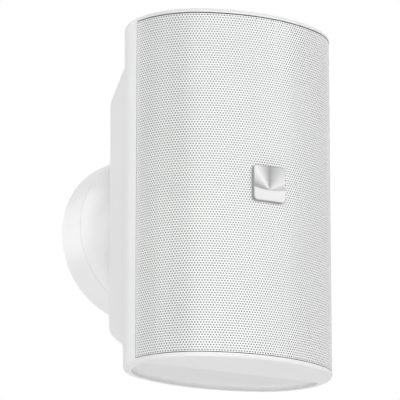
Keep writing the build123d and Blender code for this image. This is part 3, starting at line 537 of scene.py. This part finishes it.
def perforated_grille():
    """Sheet with staggered round holes up to its edges, in place of the coarse solid"""
    half_arc = grille_half_arc()
    width = 2 * (half_arc - EDGE_MARGIN)
    height = 2 * (GRILLE_HALF_HEIGHT - EDGE_MARGIN)
    columns = round(width / HOLE_PITCH)
    rows = round(height / HOLE_PITCH / math.sin(math.pi / 3))
    pitch = width / columns
    row_step = height / rows
    holes, left_ends, right_ends = hole_rows(columns, rows, pitch, row_step)

    # A cell is a rectangle of twelve points round a hole of twelve sides
    across = np.array([2, 2, 1, 0, -1, -2, -2, -2, -1, 0, 1, 2]) * pitch / 4
    upward = np.array([0, 1, 1, 1, 1, 1, 0, -1, -1, -1, -1, -1]) * row_step / 2
    turns = np.arange(HOLE_SIDES) * math.tau / HOLE_SIDES
    circle = HOLE_RADIUS * np.stack([np.cos(turns), np.sin(turns)], axis=1)
    cell = np.concatenate([np.stack([across, upward], axis=1), circle])
    ring = band(HOLE_SIDES)
    quarter = HOLE_SIDES // 4
    right_half = np.roll(ring, quarter, axis=0)[: 2 * quarter]
    left_half = ring[quarter : 3 * quarter]
    pieces = []
    for part, upper in (("low", False), ("high", True)):
        flat = np.empty((0, 2))
        quads = np.empty((0, 4), dtype=int)
        for centres, facets in ((holes, ring), (left_ends, right_half), (right_ends, left_half)):
            mine = centres[(centres[:, 1] > 0) == upper]
            quads = np.concatenate([quads, copied_quads(facets, len(cell), len(mine)) + len(flat)])
            flat = np.concatenate([flat, copies(cell, mine)])
        points, quads = weld(front_point(flat, GRILLE_INSET), quads)
        pieces.append(mesh_piece(f"grille_sheet_{part}", points, quads, "grille", "grille_white"))
        mine = holes[(holes[:, 1] > 0) == upper]
        rims = copies(circle, mine)
        loops = []
        for inset in (GRILLE_INSET, GRILLE_INSET + GRILLE_SKIN):
            loops.append(front_point(rims, inset).reshape(-1, HOLE_SIDES, 3))
        walls = np.concatenate(loops, axis=1).reshape(-1, 3)
        wall_quads = copied_quads(ring, 2 * HOLE_SIDES, len(mine))
        pieces.append(mesh_piece(f"grille_holes_{part}", walls, wall_quads, "grille", "grille_white"))

    # Plain rim round the field, and the sheet's edge
    field = field_edge(columns, rows, pitch, row_step)
    half_size = (half_arc, GRILLE_HALF_HEIGHT)
    outline = rounded(field / field.max(axis=0) * half_size, half_size, GRILLE_CORNER)
    rim = np.concatenate([front_point(outline, GRILLE_INSET), front_point(field, GRILLE_INSET)])
    edge_back = front_point(outline, GRILLE_INSET + GRILLE_THICKNESS)
    edge = np.concatenate([edge_back, front_point(outline, GRILLE_INSET)])
    pieces.append(mesh_piece("grille_rim", rim, band(len(field)), "grille", "grille_white"))
    pieces.append(mesh_piece("grille_edge", edge, band(len(field)), "grille", "grille_white"))
    for piece in pieces:
        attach(piece, "speaker")


def grille_backing():
    """Cloth behind the sheet, out to the last holes"""
    half_arc = grille_half_arc() - EDGE_MARGIN
    half_height = GRILLE_HALF_HEIGHT - EDGE_MARGIN
    arcs = np.linspace(-half_arc, half_arc, CLOTH_COLUMNS)
    loops = []
    for height in (-half_height, half_height):
        places = np.stack([arcs, np.full_like(arcs, height)], axis=1)
        front = front_point(places, GRILLE_INSET + GRILLE_THICKNESS)
        behind = front_point(places, GRILLE_INSET + GRILLE_THICKNESS + CLOTH_THICKNESS)
        loops.append(np.concatenate([front, behind[::-1]]))
    count = 2 * CLOTH_COLUMNS
    here = np.arange(CLOTH_COLUMNS - 1)
    lower_end = np.stack([here, count - 1 - here, count - 2 - here, here + 1], axis=1)
    upper_end = lower_end[:, ::-1] + count
    quads = np.concatenate([band(count), lower_end, upper_end])
    piece = mesh_piece("grille_cloth_sheet", np.concatenate(loops), quads, "grille_cloth", "cloth_grey")
    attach(piece, "speaker")


perforated_grille()
grille_backing()


# Soft rings of the woofer


def flexing_ring(node, front, thickness, sectors):
    """Soft ring about the woofer's axis, in sectors. Front is a line of (radius, y) from the inner edge
    outwards."""
    low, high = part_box(node)
    centre = (low[2] + high[2]) / 2
    profile = np.array(front + [(radius, y + thickness) for radius, y in reversed(front)])
    count = len(profile)
    steps = RING_STEPS // sectors
    for sector in range(sectors):
        turns = (sector + np.arange(steps + 1) / steps) * math.tau / sectors
        x = np.outer(np.cos(turns), profile[:, 0])
        z = np.outer(np.sin(turns), profile[:, 0]) + centre
        y = np.broadcast_to(profile[:, 1], x.shape)
        points = np.stack([x, y, z], axis=2).reshape(-1, 3)
        quads = copied_quads(band(count), count, steps)
        piece = mesh_piece(f"{node}_{sector + 1}", points, quads, node, slots[node])
        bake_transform(piece)


def spider_line():
    """Front line of the corrugated spider"""
    low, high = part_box("woofer_spider")
    outer = (high[0] - low[0]) / 2
    waves = np.linspace(0, 1, SPIDER_POINTS)
    depths = high[1] - SKIN - SPIDER_WAVE * (1 - np.cos(waves * math.tau * SPIDER_WAVES)) / 2
    radii = COIL_RADIUS + waves * (SPIDER_FOOT - COIL_RADIUS)
    return [*zip(radii, depths), (outer, high[1] - SKIN)]


def surround_line():
    """Front line of the surround: lap on the cone, half roll, landing on the basket"""
    low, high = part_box("woofer_surround")
    outer = (high[0] - low[0]) / 2
    land = high[1] - SKIN
    turns = np.linspace(0, math.pi, ROLL_POINTS)
    radii = CONE_RADIUS + ROLL_RADIUS * (1 - np.cos(turns))
    roll = zip(radii, land - ROLL_RADIUS * np.sin(turns))
    return [(CONE_RADIUS - SURROUND_LAP, land), *roll, (outer, land)]


flexing_ring("woofer_spider", spider_line(), SKIN, SPIDER_SECTORS)
flexing_ring("woofer_surround", surround_line(), SKIN, SURROUND_SECTORS)

# Camera at the photograph's viewing angle
back = Vector(
    (
        math.sin(CAMERA_AZIMUTH) * math.cos(CAMERA_ELEVATION),
        -math.cos(CAMERA_AZIMUTH) * math.cos(CAMERA_ELEVATION),
        math.sin(CAMERA_ELEVATION),
    )
)
right = Vector((math.cos(CAMERA_AZIMUTH), math.sin(CAMERA_AZIMUTH), 0))
up = back.cross(right)
target = Vector((0, BODY_Y, 0)) - right * AIM_LEFT + up * AIM_UP
camera_data = bpy.data.cameras.new("camera")
camera_data.lens = 301.4
camera_data.sensor_width = 36.0
camera_data.clip_end = 60.0
camera = bpy.data.objects.new("camera", camera_data)
aim = Matrix((right, up, back)).transposed().to_4x4()
camera.matrix_world = Matrix.Translation(target + back * CAMERA_DISTANCE) @ aim
bpy.context.scene.collection.objects.link(camera)
bpy.context.scene.camera = camera


# Studio: pale floor well below, soft lamps, white surroundings


def seen(tree):
    """Share of the rays that show the surroundings: straight, mirrored and through glass"""
    path = tree.nodes.new("ShaderNodeLightPath")
    mirrored = mix_values(tree, path.outputs["Is Camera Ray"], path.outputs["Is Glossy Ray"], "MAXIMUM")
    return mix_values(tree, mirrored, path.outputs["Is Transmission Ray"], "MAXIMUM")


def mixed_output(tree, share, first, second, output):
    """Mix two shaders into a material's or a world's output"""
    mixer = tree.nodes.new("ShaderNodeMixShader")
    tree.links.new(share, mixer.inputs["Fac"])
    tree.links.new(first, mixer.inputs[1])
    tree.links.new(second, mixer.inputs[2])
    tree.links.new(mixer.outputs["Shader"], tree.nodes[output].inputs["Surface"])


def pale_floor(name, colour, glow):
    """Pale floor that looks nearly white by itself and still takes a shadow"""
    made = grained(name, colour, 0.8, 2.0, 0.01)
    tree = made.node_tree
    white = tree.nodes.new("ShaderNodeEmission")
    white.inputs["Strength"].default_value = 1.0
    share = mix_values(tree, seen(tree), glow, "MULTIPLY")
    plain = tree.nodes["Principled BSDF"].outputs["BSDF"]
    mixed_output(tree, share, plain, white.outputs["Emission"], "Material Output")
    return made


floor_mesh = bpy.data.meshes.new("floor")
signs = ((-1, -1), (1, -1), (1, 1), (-1, 1))
floor_corners = [(x * FLOOR_REACH, y * FLOOR_REACH, FLOOR_LEVEL) for x, y in signs]
floor_mesh.from_pydata(floor_corners, [], [(0, 1, 2, 3)])
floor = bpy.data.objects.new("floor", floor_mesh)
floor_mesh.materials.append(pale_floor("floor_pale", (0.86, 0.86, 0.86), FLOOR_GLOW))
bpy.context.scene.collection.objects.link(floor)


def lamp(name, place, width, height, power):
    """Soft box aimed at the speaker"""
    data = bpy.data.lights.new(name, "AREA")
    data.shape = "RECTANGLE"
    data.size = width
    data.size_y = height
    data.energy = power
    made = bpy.data.objects.new(name, data)
    made.location = place
    made.rotation_euler = (target - Vector(place)).to_track_quat("-Z", "Y").to_euler()
    bpy.context.scene.collection.objects.link(made)


lamp("front_strip", (0.41, -3.03, 0.73), 2.0, 0.6, 18.0)
lamp("front_left", (-1.22, -2.78, 0.78), 1.6, 1.6, 28.0)
lamp("front_right", (1.81, -2.31, 1.03), 1.0, 1.0, 14.5)
lamp("left", (-2.94, -0.41, 0.52), 1.0, 1.0, 9.5)
lamp("back_left", (-2.10, 1.70, 1.00), 1.0, 2.4, 11.0)
lamp("rim", (-1.45, 2.36, 0.78), 1.2, 2.4, 14.5)
lamp("under", (-0.41, -0.86, -2.04), 0.8, 0.8, 15.5)

world = bpy.data.worlds.new("studio")
bpy.context.scene.world = world
world.use_nodes = True
tree = world.node_tree
ambient = tree.nodes["Background"]
ambient.inputs["Color"].default_value = (1, 1, 1, 1)
ambient.inputs["Strength"].default_value = AMBIENT_STRENGTH
white = tree.nodes.new("ShaderNodeBackground")
white.inputs["Color"].default_value = (1, 1, 1, 1)
white.inputs["Strength"].default_value = 1.0
plain_light = ambient.outputs["Background"]
white_light = white.outputs["Background"]
mixed_output(tree, seen(tree), plain_light, white_light, "World Output")

bpy.context.scene.view_settings.view_transform = "Standard"
